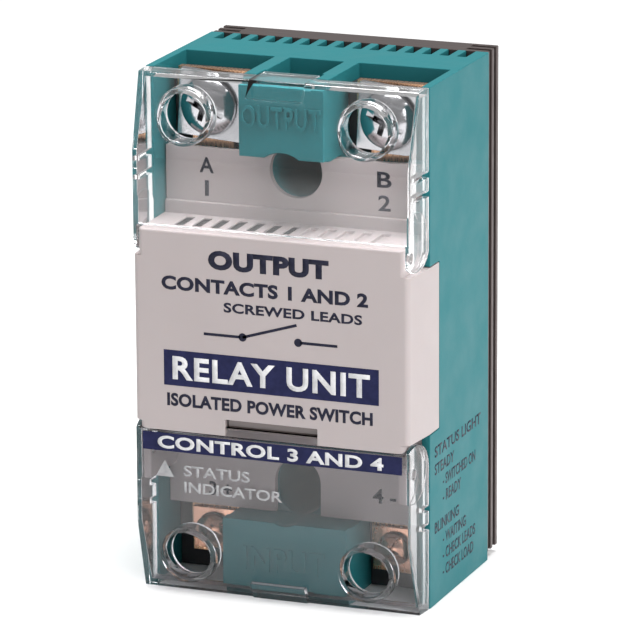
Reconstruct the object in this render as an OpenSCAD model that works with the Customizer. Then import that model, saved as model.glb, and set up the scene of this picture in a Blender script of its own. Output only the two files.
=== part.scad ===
// Panel-mount solid state relay with an aluminium base plate and two hinged clear terminal covers.
// Millimetres. X runs across the relay, -Y is the front, +Z is up.
// The origin is midway between the two mounting holes, on the rear face of the base plate.

/* [Moulded body] */
// Width across the moulded body
body_w = 53; // [52:0.5:54]
// Height of the moulded body
body_h = 94; // [93.5:0.5:95]
// Depth of the moulded body from the base plate to its front rim
body_d = 30.5; // [30:0.5:32]
// Thickness of the moulded side walls
side_t = 1.6; // [1.4:0.1:1.8]
// Thickness of the top and bottom walls over the electronics bay
end_t = 1.8; // [1.5:0.1:2]

/* [Base plate] */
// Thickness of the aluminium base plate
plate_t = 6; // [5.8:0.1:7]
// How far the plate sides sit inside the body sides
plate_inset = 0.3; // [0.1:0.1:0.5]
// How far the plate stops above the lower end of the body
plate_short = 1.3; // [1:0.1:2]
// Height of one cooling groove in the plate sides
groove_t = 1.3; // [1:0.1:1.4]
// Depth of the cooling grooves
groove_d = 4.5; // [3:0.5:5]

/* [Mounting] */
// Distance between the two mounting holes
hole_pitch = 58; // [57:0.5:59]
// Radius of the mounting holes in the plate, for M4 screws
hole_r = 2.3; // [2.2:0.05:2.4]
// Radius of the upper screwdriver well
well_r = 4.9; // [4.6:0.1:5]
// Half width of the lower screwdriver well
slot_r = 4.3; // [4.2:0.1:4.4]

/* [Centre block] */
// How far the white centre block stands ahead of the body rim
block_d = 8.4; // [8:0.1:8.8]
// Wall thickness of the centre block
block_t = 1.6; // [1.4:0.1:1.8]
// Height of the vent ledge above the middle
ledge_z = 19.8; // [19.6:0.1:19.9]
// Number of vent slots along the ledge
ledge_slots = 12; // [10:1:12]
// Distance between neighbouring vent slots on the ledge
ledge_pitch = 3.35; // [3.2:0.05:3.4]
// Depth of the label faces behind the body rim
label_back = 4.6; // [4.4:0.1:4.8]

/* [Terminal covers] */
// Wall thickness of the clear covers
cover_t = 1.2; // [1:0.1:1.3]
// Depth of the covers at their outer ends
cover_end_d = 4.1; // [3.9:0.1:4.3]
// Height of the bend in the cover fronts
cover_bend_z = 33.7; // [33:0.1:34.5]
// Inner radius of the screwdriver holes in the covers
driver_r = 4.3; // [4.1:0.1:4.4]
// Outer radius of the collars round the screwdriver holes
collar_r = 5.2; // [5.1:0.1:5.3]
// Half width of the finger tabs
tab_hw = 5.2; // [4.8:0.1:5.4]
// Radius of the hinge stubs on the covers
stub_r = 0.9; // [0.8:0.05:1]
// Running clearance round a stub
stub_gap = 0.06; // [0.04:0.01:0.09]

/* [Terminals] */
// Distance of the output screws from the middle
out_x = 16.84; // [16.6:0.02:17]
// Height of the output screws
out_z = 39.3; // [39:0.1:39.6]
// Distance of the input screws from the middle
in_x = 17.3; // [17:0.1:17.6]
// Height of the input screws below the middle
in_z = 38.6; // [38.3:0.1:39]
// Radius of the output screw heads
out_head_r = 5.1; // [4.9:0.1:5.2]
// Radius of the input screw heads
in_head_r = 3.15; // [3:0.05:3.3]
// Side of the square output clamp washers
out_washer = 12; // [11.5:0.1:12.2]
// Side of the square input clamp washers
in_washer = 8; // [7.5:0.1:8.4]
// Thickness of the output terminal bars
bar_t = 1.6; // [1.4:0.1:1.7]
// Number of vent notches along the top and bottom walls
vents = 15; // [13:1:15]
// Distance between neighbouring vent notches
vent_pitch = 3.3; // [3.1:0.05:3.35]

/* [Hidden] */
$fn = 64;

hw = body_w / 2;
hh = body_h / 2;
plate_y = -plate_t;
rim_y = -plate_t - body_d;
panel_y = rim_y - block_d;
label_y = rim_y + label_back;
label_t = 1.4;
hole_z = hole_pitch / 2;
in_wall = hw - side_t;
gap = 0.3;
eps = 0.01;
cut = 1;

// Chambers for the terminals
chamber_back = rim_y + 14.7;
bay_front = rim_y + 16.5;
up_floor_z = 30.2;
low_floor_z = 31.6;
floor_t = 1.6;
label_rear = label_y + label_t + 0.3;
divider_in = 5.1;
divider_out = 7.9;
lower_block_hw = 11.7;
lead_y = rim_y - 2.4;
slot_front = rim_y + 3.2;
slot_floor = 34.5;

// Side tabs of the centre block that lie over the body sides
tab_z = 15;
tab_back = rim_y + 4.7;
fit = 0.15;
block_r = 0.9;
block_hw = hw - 0.85;
cheek_out = hw - 1.7;
cheek_in = hw - 3.2;

// Hinge axes of the two covers
up_axis_y = rim_y - 6.6;
up_axis_z = 18.2;
low_axis_y = rim_y - 5.45;
low_axis_z = -20.8;
up_edge_z = 20.5;
low_edge_z = -16.8;
ear_r = 5.3;
up_ear_y = rim_y - 4.9;
up_ear_z = 20.6;
sweep_r = 5.25;
cheek_r = 1.45;
lip_z = -16.8;
cover_back = rim_y - 0.2;
cover_hw = hw - 0.1;

// Output terminals, as depths behind the body rim
out_head_y = rim_y + 2.9;
out_under_y = rim_y + 6.2;
out_bar_y = rim_y + 7.6;
out_shank_r = 2.45;
in_head_y = rim_y + 4.9;
in_under_y = rim_y + 7.2;
in_bar_y = rim_y + 8.3;
in_bar_t = 1;
in_shank_r = 1.7;
shank_end_y = rim_y + 14.3;
washer_twist = 4;

// Electronics
board_y = rim_y + 17;
board_t = 1.6;
board_hw = 22.5;
board_hh = 21.3;
post_x = 21.6;
post_z = 17.5;
post_r = 1.3;
tile_t = 0.63;
tile_y = plate_y - 0.08 - tile_t;
pad_t = 0.3;
chip_t = 0.4;
foot_t = 1;
foot_y = tile_y - pad_t - foot_t;

teal = [0.30, 0.58, 0.60];
white = [0.85, 0.82, 0.80];
clear = [0.75, 0.80, 0.80, 0.4];
alu = [0.42, 0.38, 0.37];
copper = [0.75, 0.45, 0.30];
nickel = [0.75, 0.75, 0.76];
dark = [0.20, 0.19, 0.20];
green = [0.10, 0.35, 0.22];
ceramic = [0.93, 0.92, 0.88];
tan = [0.75, 0.62, 0.42];
blue = [0.15, 0.30, 0.60];
smoke = [0.45, 0.36, 0.32, 0.8];

// A block between two corners
module block(x0, x1, y0, y1, z0, z1) {
    translate([x0, y0, z0]) cube([x1 - x0, y1 - y0, z1 - z0]);
}

// A round bar along Y
module rod_y(x, z, r, y0, y1) {
    translate([x, y1, z]) rotate([90, 0, 0]) cylinder(r = r, h = y1 - y0);
}

// A tapered bar along Y, with the front radius first
module cone_y(x, z, r0, r1, y0, y1) {
    translate([x, y1, z]) rotate([90, 0, 0]) cylinder(r1 = r1, r2 = r0, h = y1 - y0);
}

// A round bar along X
module rod_x(y, z, r, x0, x1) {
    translate([x0, y, z]) rotate([0, 90, 0]) cylinder(r = r, h = x1 - x0);
}

// A six-sided bar along Y
module hex_y(x, z, flats, y0, y1) {
    translate([x, y1, z]) rotate([90, 0, 0]) cylinder(d = flats / cos(30), h = y1 - y0, $fn = 6);
}

// A shape drawn in the Y-Z plane and extended along X
module along_x(x0, x1) {
    translate([x0, 0, 0]) rotate([90, 0, 90]) linear_extrude(x1 - x0) children();
}

// Both sides of the relay
module both() {
    children();
    mirror([1, 0, 0]) children();
}

// Long hole along Z with rounded ends
module long_hole(r, z0, z1, y0, y1) {
    rod_y(0, z0, r, y0, y1);
    rod_y(0, z1, r, y0, y1);
    block(-r, r, y0, y1, z0, z1);
}

// ---- Base plate ----
module base_plate() {
    x = hw - plate_inset;
    low = -hh + plate_short;
    fin = (plate_t - 2 * groove_t) / 3;
    color(alu) difference() {
        block(-x, x, plate_y, 0, low, hh);
        both() for (i = [0, 1]) {
            y = plate_y + fin + i * (fin + groove_t);
            block(x - groove_d, x + cut, y, y + groove_t, low - cut, hh + cut);
        }
        rod_y(0, hole_z, hole_r, plate_y - cut, cut);
        rod_y(0, -hole_z, hole_r, plate_y - cut, cut);
        housing_screw_places() {
            rod_y(0, 0, 1.6, plate_y - cut, cut);
            cone_y(0, 0, 1.6, 3.1, -1.5, eps);
        }
    }
}

// The four posts that the circuit board stands on
module board_post_places() {
    for (x = [-post_x, post_x], z = [-post_z, post_z]) translate([x, 0, z]) children();
}

// The four screws that hold the body to the plate
module housing_screw_places() {
    for (x = [-19, 19], z = [-25.5, 25.5]) translate([x, 0, z]) children();
}

module housing_screws() {
    color(nickel) housing_screw_places() difference() {
        union() {
            cone_y(0, 0, 1.45, 2.85, -1.6, -0.2);
            rod_y(0, 0, 1.45, plate_y - 7, -1.59);
        }
        block(-1.6, 1.6, -0.7, cut, -0.3, 0.3);
        block(-0.3, 0.3, -0.7, cut, -1.6, 1.6);
    }
}

// ---- Moulded body ----
module vent_row(z_in, z_out) {
    open_vents = 7;
    blind_skin = 0.7;
    first = -(vents - 1) / 2 * vent_pitch;
    lo = min(z_in, z_out);
    hi = max(z_in, z_out);
    for (i = [0 : vents - 1]) {
        x = first + i * vent_pitch;
        blind = i < open_vents ? 0 : blind_skin;
        a = z_out > 0 ? lo + blind : lo;
        b = z_out > 0 ? hi : hi - blind;
        block(x - 0.85, x + 0.85, plate_y - 5.2, plate_y + cut, a, b);
    }
}

module housing() {
    boss_r = 3.2;
    color(teal) difference() {
        union() {
            difference() {
                block(-hw, hw, rim_y, plate_y, -hh, hh);
                // electronics bay behind the chambers
                block(-in_wall, in_wall, bay_front, plate_y + cut, -hh + end_t, hh - end_t);
                // bay behind the label faces and the centre block
                block(-in_wall, in_wall, label_rear - eps, bay_front + cut, -low_floor_z, up_floor_z);
                // open front that the white cover closes
                block(-in_wall, in_wall, rim_y - cut, label_rear, -33.5, 32.3);
                // upper terminal chambers, open to the front and top
                both() block(divider_out, in_wall, rim_y - cut, chamber_back, up_floor_z + floor_t, hh + cut);
                // lower terminal chambers, open to the front and bottom
                both() block(lower_block_hw, in_wall, rim_y - cut, chamber_back, -hh - cut, -low_floor_z - floor_t);
                // hollow behind the lower barrier
                block(-9.9, 9.9, rim_y + 1.2, bay_front + cut, -hh + end_t, -34.8);
            }
            // upper and lower barriers that stand ahead of the rim
            block(-divider_out, divider_out, lead_y, rim_y + eps, 32.7, hh - 1.6);
            difference() {
                block(-lower_block_hw, lower_block_hw, lead_y, rim_y + eps, -hh + 1.6, -33.2);
                both() translate([lower_block_hw, 0, -33.2]) rotate([0, 45, 0])
                    cube([2.4, 60, 2.4], center = true);
            }
            // screwdriver wells down to the plate
            rod_y(0, hole_z, well_r + 1.4, label_rear, plate_y - 0.1);
            long_hole(slot_r + 1.4, -hole_z - 0.4, -hole_z + 1.6, label_rear, plate_y - 0.1);
            // screw bosses, tied to the side walls
            housing_screw_places() rod_y(0, 0, boss_r, plate_y - 9, plate_y - 0.1);
            both() for (z = [-25.5, 25.5])
                block(19, in_wall + eps, plate_y - 9, plate_y - 0.1, z - 0.7, z + 0.7);
            // board posts, tied to the side walls
            board_post_places() rod_y(0, 0, post_r, board_y + board_t, plate_y - 0.1);
            both() for (z = [-post_z, post_z])
                block(post_x, in_wall + eps, board_y + board_t, plate_y - 0.1, z - 0.6, z + 0.6);
            // ribs that carry the front cover
            both() for (z = [-18, 18])
                block(in_wall - 1.4, in_wall + eps, label_rear, bay_front, z - 0.6, z + 0.6);
        }
        // central pocket in the upper barrier
        block(-divider_in, divider_in, slot_front, chamber_back, slot_floor, hh + cut);
        // clearance for the screw heads below the barriers
        rod_y(0, hole_z, well_r, rim_y - 5, plate_y + cut);
        long_hole(slot_r, -hole_z - 0.4, -hole_z + 1.6, rim_y - 5, plate_y + cut);
        // seats for the latches of the covers
        block(-tab_hw - gap, tab_hw + gap, lead_y - cut, rim_y + 3.3, hh - 1.5, hh + cut);
        block(-tab_hw - gap, tab_hw + gap, lead_y - cut, rim_y + 0.6, -hh - cut, -hh + 1.5);
        // openings in the sides for the tabs of the front cover
        both() block(in_wall - cut, hw + cut, rim_y - cut, tab_back + fit, -tab_z - fit, tab_z + fit);
        // pilot holes for the screws
        housing_screw_places() rod_y(0, 0, 1.5, plate_y - 7.5, plate_y + cut);
        // vent notches
        vent_row(hh - end_t - cut, hh + cut);
        vent_row(-hh + end_t + cut, -hh - cut);
        // slots where the terminal bars pass from the chambers into the bay
        both() block(out_x - 4.3, out_x + 4.3, out_bar_y - 0.2, out_bar_y + bar_t + 0.2,
            up_floor_z - cut, up_floor_z + floor_t + cut);
        both() block(in_x - 2.7, in_x + 2.7, in_bar_y - 0.2, in_bar_y + in_bar_t + 0.2,
            -low_floor_z - floor_t - cut, -low_floor_z + cut);
    }
}

// ---- White front cover ----
// Outline of the centre block seen from above
module block_outline(rear_hw, front_hw, rear) {
    polygon([
        [-rear_hw, rear], [rear_hw, rear], [rear_hw, rim_y], [front_hw, panel_y + block_r],
        [front_hw - block_r, panel_y], [-front_hw + block_r, panel_y],
        [-front_hw, panel_y + block_r], [-rear_hw, rim_y]
    ]);
    for (s = [-1, 1]) translate([s * (front_hw - block_r), panel_y + block_r]) circle(r = block_r);
}

// Outline of the lip below the window, with the same rounded front corners
module lip_outline() {
    translate([-cheek_out, panel_y + block_r]) square([2 * cheek_out, 3 - block_r]);
    translate([-cheek_out + block_r, panel_y]) square([2 * (cheek_out - block_r), 3]);
    for (s = [-1, 1]) translate([s * (cheek_out - block_r), panel_y + block_r]) circle(r = block_r);
}

// Cheek beside the rounded underside, with the hinge of the lower cover in it
module cheek_outline() {
    low = -26;
    translate([low_axis_y, low_axis_z]) circle(r = cheek_r);
    polygon([
        [low_axis_y, low_axis_z + cheek_r - 0.1], [low_axis_y + 4.2, low_axis_z + 0.65],
        [label_y + 0.5, low_axis_z + 0.65], [label_y + 0.5, low],
        [low_axis_y - cheek_r, low], [low_axis_y - cheek_r, low_axis_z]
    ]);
}

module front_cover() {
    window_hw = 8.65;
    window_top = -13.5;
    sill_z = -15.2;
    riser_back = 0.7;
    label_hw = in_wall - gap;
    label_end = -33.2;
    color(white) difference() {
        union() {
            difference() {
                union() {
                    // centre block
                    translate([0, 0, -tab_z]) linear_extrude(2 * tab_z) block_outline(hw, block_hw, tab_back);
                    translate([0, 0, tab_z - eps]) linear_extrude(ledge_z - tab_z + eps)
                        block_outline(cheek_out, cheek_out, label_y + label_t);
                    translate([0, 0, lip_z]) linear_extrude(-lip_z - tab_z + eps) lip_outline();
                    block(-cheek_out, cheek_out, panel_y + 2.5, label_y + label_t, sill_z, -tab_z + eps);
                    // label faces
                    block(-label_hw, label_hw, label_y, label_y + label_t, ledge_z - cut, 32);
                    block(-label_hw, label_hw, label_y, label_y + label_t, label_end, sill_z + cut);
                    // upstand along the back of the ledge
                    block(-label_hw, label_hw, label_y - riser_back, label_y + eps, ledge_z - cut, 22);
                }
                // hollow of the block
                block(-cheek_in, cheek_in, panel_y + block_t, label_y + label_t + cut, -14.4, ledge_z - block_t);
                both() block(cheek_in - eps, hw - 1.5, rim_y - 3.5, tab_back - 1.4, -12.5, 12.5);
                // rounded underside that the lower cover turns in
                rod_x(low_axis_y, low_axis_z, sweep_r, -hw - cut, hw + cut);
            }
            both() along_x(cheek_in, cheek_out - 0.1) cheek_outline();
        }
        // bores for the hinge stubs of the covers
        both() rod_x(up_axis_y, up_axis_z, stub_r + stub_gap, cheek_in - cut, cheek_out + cut);
        both() rod_x(low_axis_y, low_axis_z, stub_r + stub_gap, cheek_in - cut, cheek_out + cut);
        // front edge of the ledge is eased for the upper cover
        translate([0, panel_y, ledge_z]) rotate([45, 0, 0]) cube([60, 0.9, 0.9], center = true);
        // indicator window
        block(-window_hw, window_hw, panel_y - cut, panel_y + block_t + 0.1, -17, window_top);
        block(-window_hw, window_hw, panel_y + block_t - eps, rim_y - 3, -14.45, -10.5);
        // vent slots in the ledge, open on the left and blind on the right
        for (i = [0 : ledge_slots - 1]) {
            x = -19 + i * ledge_pitch;
            deep = i < 6 ? block_t + cut : 0.7;
            block(x - 0.75, x + 0.75, rim_y - 3.2, rim_y + 2.2, ledge_z - deep, ledge_z + cut);
            block(x - 0.75, x + 0.75, rim_y - 5.3, rim_y - 4.8, ledge_z - 0.6, ledge_z + cut);
        }
        // screwdriver openings in the label faces
        rod_y(0, hole_z, well_r, label_y - cut, label_y + label_t + cut);
        long_hole(slot_r, -hole_z - 8, -hole_z + 1.6, label_y - cut, label_y + label_t + cut);
    }
}

// ---- Indicator ----
module indicator_lens() {
    color(smoke) block(-8.4, 8.4, panel_y + 0.9, panel_y + 1.7, -15.5, -13.65);
}

module light_guide() {
    color(clear) difference() {
        block(-7.8, 7.8, panel_y + 2.1, panel_y + 4.8, -14.2, -11.4);
        rod_y(0, -12.8, 1.1, panel_y + 4.2, panel_y + 6);
    }
}

module indicator_led() {
    led_z = -12.8;
    color([0.85, 0.9, 0.8]) union() {
        rod_y(0, led_z, 1.3, panel_y + 5.2, panel_y + 9);
        rod_y(0, led_z, 1.5, panel_y + 9, panel_y + 10);
        for (x = [-1, 0, 1]) rod_y(x, led_z, 0.22, panel_y + 10 - eps, board_y + board_t + 0.8);
    }
}

// ---- Circuit board and its parts ----
module board_part_holes() {
    for (x = [-1, 0, 1]) rod_y(x, -12.8, 0.3, board_y - cut, board_y + board_t + cut);
    for (x = [-10 : 4 : 10]) rod_y(x, -5, 0.5, board_y - cut, board_y + board_t + cut);
}

module driver_board() {
    color(green) difference() {
        block(-board_hw, board_hw, board_y, board_y + board_t - 0.05, -board_hh, board_hh);
        board_part_holes();
        both() block(in_x - 2, in_x + 2, board_y - cut, board_y + board_t + cut, -20.2, -18.4);
        both() block(out_x - 4.4, out_x + 4.4, board_y - cut, board_y + board_t + cut, 18.2, 23);
    }
}

module optocoupler() {
    y1 = board_y - 0.6;
    color(dark) union() {
        difference() {
            block(-14, -5, y1 - 3.4, y1, -3.2, 3.2);
            rod_y(-12.8, 2, 0.5, y1 - 4, y1 - 3.1);
        }
        for (x = [-12, -9.5, -7], s = [-1, 1]) {
            block(x - 0.3, x + 0.3, y1 - 1.8, board_y - 0.02, s * 3.9 - 0.15, s * 3.9 + 0.15);
            block(x - 0.3, x + 0.3, y1 - 1.95, y1 - 1.65, min(s * 3.1, s * 4.05), max(s * 3.1, s * 4.05));
        }
    }
}

module snubber_capacitor() {
    color(blue) difference() {
        block(2, 20, board_y - 11, board_y - 0.3, 5, 12);
        block(4, 18, board_y - 12, board_y - 10.8, 6.5, 10.5);
    }
}

module snubber_resistor() {
    y = board_y - 3;
    color(tan) union() {
        translate([-20, y, 12]) rotate([0, 90, 0]) cylinder(r = 2.2, h = 13);
        translate([-20.2, y, 12]) rotate([0, 90, 0]) cylinder(r = 2.45, h = 2.4);
        translate([-9.2, y, 12]) rotate([0, 90, 0]) cylinder(r = 2.45, h = 2.4);
        rod_x(y, 12, 0.4, -21.6, -4.9);
        rod_y(-21.2, 12, 0.4, y - 0.4, board_y - 0.02);
        rod_y(-5.3, 12, 0.4, y - 0.4, board_y - 0.02);
    }
}

module surge_varistor() {
    color(blue) union() {
        translate([-1.8, board_y - 8.4, -2.6]) rotate([0, 90, 0]) cylinder(r = 6.2, h = 3.6);
        for (z = [-5.1, -0.1]) rod_y(0, z, 0.35, board_y - 3, board_y - 0.02);
    }
}

module input_parts() {
    color(dark) union() {
        for (x = [4.5, 9, 13.5, 18]) block(x - 1, x + 1, board_y - 1.2, board_y - 0.02, -12, -8.4);
        block(5, 12, board_y - 2.6, board_y - 0.02, -3.5, 1.5);
        for (x = [15, 19]) rod_y(x, -2, 1.6, board_y - 5.5, board_y - 0.02);
    }
}

module gate_pins() {
    color(copper) for (x = [-10 : 4 : 10]) rod_y(x, -5, 0.4, board_y - 0.8, tile_y - pad_t - 0.02);
}

// ---- Power stage on the plate ----
module power_substrate() {
    x = 19.8;
    z = 16.5;
    color(ceramic) union() {
        block(-x, x, tile_y, tile_y + tile_t, -z, z + 3);
        block(-x + 1, -0.6, tile_y - pad_t, tile_y + eps, -z + 1, z + 2);
        block(0.6, x - 1, tile_y - pad_t, tile_y + eps, -z + 1, z + 2);
    }
}

module power_chips() {
    color([0.35, 0.36, 0.4]) both() block(5, 14, tile_y - pad_t - chip_t - 0.01, tile_y - pad_t - 0.01, 0, 9);
}

module heat_sensor() {
    color(dark) union() {
        block(-3.4, 3.4, tile_y - pad_t - 3.4, tile_y - pad_t - 0.02, 2, 10);
        for (x = [-2, 0, 2]) block(x - 0.3, x + 0.3, tile_y - pad_t - 1.8, tile_y - pad_t - 1.2, 9.9, 13);
    }
}

module potting_gel() {
    color([0.7, 0.72, 0.68]) difference() {
        block(-20, 20, foot_y - 4.5, tile_y - pad_t - 0.1, -15.2, 16.4);
        for (x = [-10 : 4 : 10]) rod_y(x, -5, 0.6, foot_y - 6, plate_y);
        both() block(4.8, 14.2, tile_y - pad_t - chip_t - 0.3, plate_y, -0.2, 9.2);
        block(-3.7, 3.7, tile_y - pad_t - 4, plate_y, 1.7, 13.3);
        both() block(out_x - 4.4, out_x + 4.4, foot_y - 6, plate_y, 10.5, 23);
    }
}

// ---- Terminals ----
module output_bar(s) {
    strip = 4;
    color(copper) difference() {
        union() {
            block(s * out_x - 6.6, s * out_x + 6.6, out_bar_y, out_bar_y + bar_t, 33.8, 45.6);
            block(s * out_x - strip, s * out_x + strip, out_bar_y, out_bar_y + bar_t, 20, 34);
            block(s * out_x - strip, s * out_x + strip, out_bar_y, foot_y + foot_t, 19.2, 19.2 + bar_t);
            block(s * out_x - strip, s * out_x + strip, foot_y, foot_y + foot_t - 0.01, 11.5, 20.5);
        }
        rod_y(s * out_x, out_z, out_shank_r + 0.05, out_bar_y - cut, out_bar_y + bar_t + cut);
        // the foot stays inside the ceramic tile
        x_in = s * out_x + s * 2.2;
        block(min(x_in, s * 30), max(x_in, s * 30), foot_y - 0.01, foot_y + foot_t + cut, 11, 21.5);
    }
}

module input_bar(s) {
    strip = 1.6;
    color(copper) difference() {
        union() {
            block(s * in_x - 4.6, s * in_x + 4.6, in_bar_y, in_bar_y + in_bar_t, -43.5, -34);
            block(s * in_x - strip, s * in_x + strip, in_bar_y, in_bar_y + in_bar_t, -34.2, -19);
            block(s * in_x - strip, s * in_x + strip, in_bar_y, board_y + board_t + 0.6, -19.8, -19);
        }
        rod_y(s * in_x, -in_z, in_shank_r + 0.05, in_bar_y - cut, in_bar_y + in_bar_t + cut);
    }
}

module output_nuts() {
    color(nickel) both() difference() {
        hex_y(out_x, out_z, 8, out_bar_y + bar_t + 0.02, out_bar_y + bar_t + 3.8);
        rod_y(out_x, out_z, out_shank_r + 0.05, out_bar_y, out_bar_y + 8);
    }
}

module input_nuts() {
    color(nickel) both() difference() {
        hex_y(in_x, -in_z, 6, in_bar_y + in_bar_t + 0.02, in_bar_y + in_bar_t + 2.8);
        rod_y(in_x, -in_z, in_shank_r + 0.05, in_bar_y, in_bar_y + 8);
    }
}

// Dark insulators that hold the bars and nuts
module terminal_base_upper() {
    y0 = out_bar_y + bar_t + 0.05;
    color(dark) both() difference() {
        block(divider_out + 0.2, in_wall - 0.2, y0, chamber_back - 0.1, up_floor_z + floor_t + 0.1, 44.4);
        hex_y(out_x, out_z, 8.2, y0 - cut, y0 + 3.9);
        rod_y(out_x, out_z, out_shank_r + 0.35, y0 - cut, chamber_back + cut);
    }
}

module terminal_base_lower() {
    y0 = in_bar_y + in_bar_t + 0.05;
    color(dark) both() difference() {
        block(lower_block_hw + 0.2, in_wall - 0.2, y0, chamber_back - 0.1, -hh + 0.2, -low_floor_z - floor_t - 0.1);
        hex_y(in_x, -in_z, 6.2, y0 - cut, y0 + 2.9);
        rod_y(in_x, -in_z, in_shank_r + 0.35, y0 - cut, chamber_back + cut);
    }
}

// Domed head with a cross recess, and a plain shank
module screw(x, z, head_r, head_y, under_y, shank_r) {
    tall = under_y - head_y;
    rim_at = under_y - 0.35 * tall;
    shoulder_at = head_y + 0.22 * tall;
    shoulder_r = 0.76 * head_r;
    difference() {
        union() {
            rod_y(x, z, head_r, rim_at, under_y);
            cone_y(x, z, shoulder_r, head_r, shoulder_at, rim_at);
            cone_y(x, z, 0.5 * head_r, shoulder_r, head_y, shoulder_at);
            rod_y(x, z, shank_r, under_y - eps, shank_end_y);
        }
        for (a = [0, 90]) translate([x, 0, z]) rotate([0, a + 20, 0])
            block(-0.45 * head_r, 0.45 * head_r, head_y - cut, head_y + 0.55 * tall, -0.11 * head_r, 0.11 * head_r);
    }
}

module clamp_washer(x, z, side, hole, y0, y1, twist) {
    difference() {
        translate([x, 0, z]) rotate([0, twist, 0])
            block(-side / 2, side / 2, y0, y1, -side / 2, side / 2);
        rod_y(x, z, hole, y0 - cut, y1 + cut);
    }
}

module output_screw(s) {
    color(nickel) screw(s * out_x, out_z, out_head_r, out_head_y, out_under_y, out_shank_r);
}

module output_washer(s) {
    color(nickel) clamp_washer(s * out_x, out_z, out_washer, out_shank_r + 0.08,
        out_under_y + 0.06, out_bar_y - 0.1, washer_twist);
}

module input_screw(s) {
    color(copper) screw(s * in_x, -in_z, in_head_r, in_head_y, in_under_y, in_shank_r);
}

module input_washer(s) {
    color(copper) clamp_washer(s * in_x, -in_z, in_washer, in_shank_r + 0.08,
        in_under_y + 0.06, in_bar_y - 0.1, 0);
}

// ---- Clear terminal covers ----
// Side view of a cover, from its inner edge to its outer end, drawn for the upper cover
module cover_profile(edge_z, t) {
    polygon([
        [cover_back + t, edge_z], [panel_y + t, edge_z], [panel_y + t, cover_bend_z],
        [rim_y - cover_end_d + t, hh - 0.05 - t], [cover_back + t, hh - 0.05 - t]
    ]);
}

// One cover standing above the middle; the lower cover is the mirror image with its own hinge
module cover_shell(edge_z, ear_y, ear_z, axis_y, axis_z, slot_open) {
    difference() {
        union() {
            difference() {
                along_x(-cover_hw, cover_hw) cover_profile(edge_z, 0);
                along_x(-cover_hw + cover_t, cover_hw - cover_t) union() {
                    cover_profile(edge_z, cover_t);
                    polygon([
                        [cover_back - eps, edge_z - cut], [panel_y + cover_t, edge_z - cut],
                        [panel_y + cover_t, edge_z + cut], [cover_back + cut, edge_z + cut],
                        [cover_back + cut, hh - 0.05 - cover_t], [cover_back - eps, hh - 0.05 - cover_t]
                    ]);
                }
            }
            // rounded ears beside the centre block
            both() along_x(cheek_out + 0.2, cover_hw) intersection() {
                translate([ear_y, ear_z]) circle(r = ear_r);
                translate([panel_y, ear_z - 8]) square([cover_back - panel_y, 16]);
            }
            // collars round the screwdriver holes
            both() rod_y(out_x, 39.7, collar_r, rim_y - 6.6, rim_y - 2.9);
            // finger tab and latch
            along_x(-tab_hw, tab_hw) polygon([
                [rim_y - cover_end_d - 0.5, hh], [rim_y - 6.5, hh - 3.2], [rim_y - 5, hh - 3.2],
                [rim_y - 2.9, hh - 1.1], [cover_back, hh - 1.1], [cover_back, hh]
            ]);
            // hinge stubs
            both() rod_x(axis_y, axis_z, stub_r, cheek_in + 0.3, cheek_out + 0.25);
        }
        both() rod_y(out_x, 39.7, driver_r, rim_y - 12, rim_y);
        // sides lean in toward the front so that they stay flush with the centre block
        both() translate([hw, rim_y, -10]) rotate([0, 0, -5.8]) block(0.02, 3, -12, 0.6, 0, 70);
        // side walls follow the round ears at the hinge
        both() along_x(cover_hw - cover_t - eps, hw + cut) difference() {
            translate([ear_y, edge_z - cut]) square([10, ear_z - edge_z + cut]);
            translate([ear_y, ear_z]) circle(r = ear_r);
        }
        // slots that free the snap tongue in each side wall
        both() for (z = [28.3, 31.7]) block(hw - 3, hw + cut, rim_y - slot_open, cover_back + cut, z - 0.45, z + 0.45);
    }
}

module upper_cover() {
    color(clear) union() {
        cover_shell(up_edge_z, up_ear_y, up_ear_z, up_axis_y, up_axis_z, 5.6);
        block(-tab_hw, tab_hw, cover_back - eps, rim_y + 2.8, hh - 1.1, hh);
    }
}

module lower_cover() {
    color(clear) mirror([0, 0, 1])
        cover_shell(-low_edge_z, low_axis_y, -low_axis_z, low_axis_y, -low_axis_z, 2.2);
}

// ---- Everything ----
base_plate();
housing();
front_cover();
indicator_lens();
light_guide();
indicator_led();
driver_board();
optocoupler();
snubber_capacitor();
snubber_resistor();
surge_varistor();
input_parts();
heat_sensor();
power_substrate();
power_chips();
gate_pins();
potting_gel();
output_bar(-1);  // output_bar_left
output_bar(1);  // output_bar_right
input_bar(-1);  // input_bar_left
input_bar(1);  // input_bar_right
output_nuts();
input_nuts();
terminal_base_upper();
terminal_base_lower();
housing_screws();
upper_cover();
lower_cover();
output_washer(-1);  // output_washer_left
output_washer(1);  // output_washer_right
input_washer(-1);  // input_washer_left
input_washer(1);  // input_washer_right
output_screw(-1);  // output_screw_left
output_screw(1);  // output_screw_right
input_screw(-1);  // input_screw_left
input_screw(1);  // input_screw_right
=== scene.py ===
import math

import bmesh
import bpy
from mathutils import Matrix, Vector


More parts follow.
